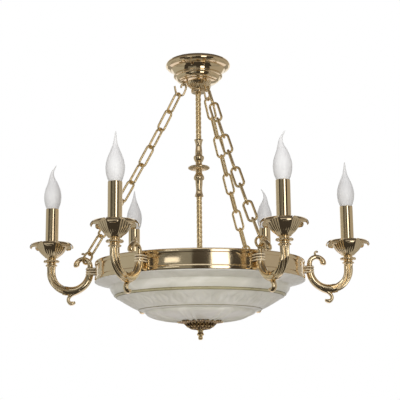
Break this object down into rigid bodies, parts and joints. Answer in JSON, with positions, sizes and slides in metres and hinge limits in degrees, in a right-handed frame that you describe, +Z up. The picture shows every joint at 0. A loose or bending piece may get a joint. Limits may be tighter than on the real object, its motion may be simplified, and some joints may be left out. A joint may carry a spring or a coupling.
{
  "type": "chandelier",
  "caption": "Polished brass chandelier with candle arms on a gallery ring, a stepped glass bowl below it, a turned stem and link chains under a ceiling canopy.",
  "frame": {"origin": "middle of the ceiling plane, between the two screw holes of the ceiling bracket", "axes": "+Z up along the stem, +X through the first arm and along the bracket"},
  "size_m": [0.691, 0.6106, 0.5786],
  "materials": {
    "polished_brass": "polished",
    "zinc_steel": "zinc plated",
    "lamp_plastic": "moulded",
    "seal_rubber": "matt",
    "bowl_glass": "frosted",
    "bulb_glass": "frosted"
  },
  "bodies": {
    "fixture": {"arm_1": "polished_brass", "arm_2": "polished_brass", "arm_3": "polished_brass", "arm_4": "polished_brass", "arm_5": "polished_brass", "arm_6": "polished_brass", "arm_collars": "polished_brass", "arm_screws": "zinc_steel", "bowl_washer": "seal_rubber", "candle_sleeve_1": "polished_brass", "candle_sleeve_2": "polished_brass", "candle_sleeve_3": "polished_brass", "candle_sleeve_4": "polished_brass", "candle_sleeve_5": "polished_brass", "candle_sleeve_6": "polished_brass", "canopy": "polished_brass", "canopy_hub": "polished_brass", "canopy_nut": "polished_brass", "ceiling_bracket": "zinc_steel", "chain_front": "polished_brass", "chain_hooks": "polished_brass", "chain_left": "polished_brass", "chain_rear": "polished_brass", "drip_pan_1": "polished_brass", "drip_pan_2": "polished_brass", "drip_pan_3": "polished_brass", "drip_pan_4": "polished_brass", "drip_pan_5": "polished_brass", "drip_pan_6": "polished_brass", "gallery_ring": "polished_brass", "inner_holders": "lamp_plastic", "knop_cup_lower": "polished_brass", "knop_cup_upper": "polished_brass", "knop_disc": "polished_brass", "lamp_cluster": "zinc_steel", "lamp_holders": "lamp_plastic", "lamp_nipples": "zinc_steel", "rod_nuts": "zinc_steel", "spider": "zinc_steel", "stem_ferrule_lower": "polished_brass", "stem_ferrule_upper": "polished_brass", "stem_tube_lower": "polished_brass", "stem_tube_upper": "polished_brass", "terminal_block": "lamp_plastic", "tie_rod": "zinc_steel"},
    "bowl_assembly": {"bowl": "bowl_glass", "bowl_gasket": "seal_rubber", "finial_rosette": "polished_brass"},
    "finial": {"finial_drop": "polished_brass"},
    "candle_lamp_1": {"candle_bulb_1": "bulb_glass"},
    "candle_lamp_2": {"candle_bulb_2": "bulb_glass"},
    "candle_lamp_3": {"candle_bulb_3": "bulb_glass"},
    "candle_lamp_4": {"candle_bulb_4": "bulb_glass"},
    "candle_lamp_5": {"candle_bulb_5": "bulb_glass"},
    "candle_lamp_6": {"candle_bulb_6": "bulb_glass"},
    "inner_lamp_1": {"inner_bulb_1": "bulb_glass"},
    "inner_lamp_2": {"inner_bulb_2": "bulb_glass"},
    "inner_lamp_3": {"inner_bulb_3": "bulb_glass"}
  },
  "joints": [
    {"name": "bowl_lower", "type": "slide", "parent": "fixture", "child": "bowl_assembly", "axis": [0, 0, -1], "range_m": [0, 0.12]},
    {"name": "finial_turn", "type": "hinge", "parent": "bowl_assembly", "child": "finial", "pos_m": [0, 0, -0.565], "axis": [0, 0, 1], "range_deg": [0, 2160]},
    {"name": "candle_bulb_turn_1", "type": "hinge", "parent": "fixture", "child": "candle_lamp_1", "pos_m": [0.3, 0, -0.33], "axis": [0, 0, 1], "range_deg": [0, 1260]},
    {"name": "candle_bulb_turn_2", "type": "hinge", "parent": "fixture", "child": "candle_lamp_2", "pos_m": [0.15, 0.25981, -0.33], "axis": [0, 0, 1], "range_deg": [0, 1260]},
    {"name": "candle_bulb_turn_3", "type": "hinge", "parent": "fixture", "child": "candle_lamp_3", "pos_m": [-0.15, 0.25981, -0.33], "axis": [0, 0, 1], "range_deg": [0, 1260]},
    {"name": "candle_bulb_turn_4", "type": "hinge", "parent": "fixture", "child": "candle_lamp_4", "pos_m": [-0.3, 0, -0.33], "axis": [0, 0, 1], "range_deg": [0, 1260]},
    {"name": "candle_bulb_turn_5", "type": "hinge", "parent": "fixture", "child": "candle_lamp_5", "pos_m": [-0.15, -0.25981, -0.33], "axis": [0, 0, 1], "range_deg": [0, 1260]},
    {"name": "candle_bulb_turn_6", "type": "hinge", "parent": "fixture", "child": "candle_lamp_6", "pos_m": [0.15, -0.25981, -0.33], "axis": [0, 0, 1], "range_deg": [0, 1260]},
    {"name": "inner_bulb_turn_1", "type": "hinge", "parent": "fixture", "child": "inner_lamp_1", "pos_m": [0.03464, 0.02, -0.4703], "axis": [0.866, 0.5, 0], "range_deg": [0, 1260]},
    {"name": "inner_bulb_turn_2", "type": "hinge", "parent": "fixture", "child": "inner_lamp_2", "pos_m": [-0.03464, 0.02, -0.4703], "axis": [-0.866, 0.5, 0], "range_deg": [0, 1260]},
    {"name": "inner_bulb_turn_3", "type": "hinge", "parent": "fixture", "child": "inner_lamp_3", "pos_m": [0, -0.04, -0.4703], "axis": [0, -1, 0], "range_deg": [0, 1260]}
  ]
}
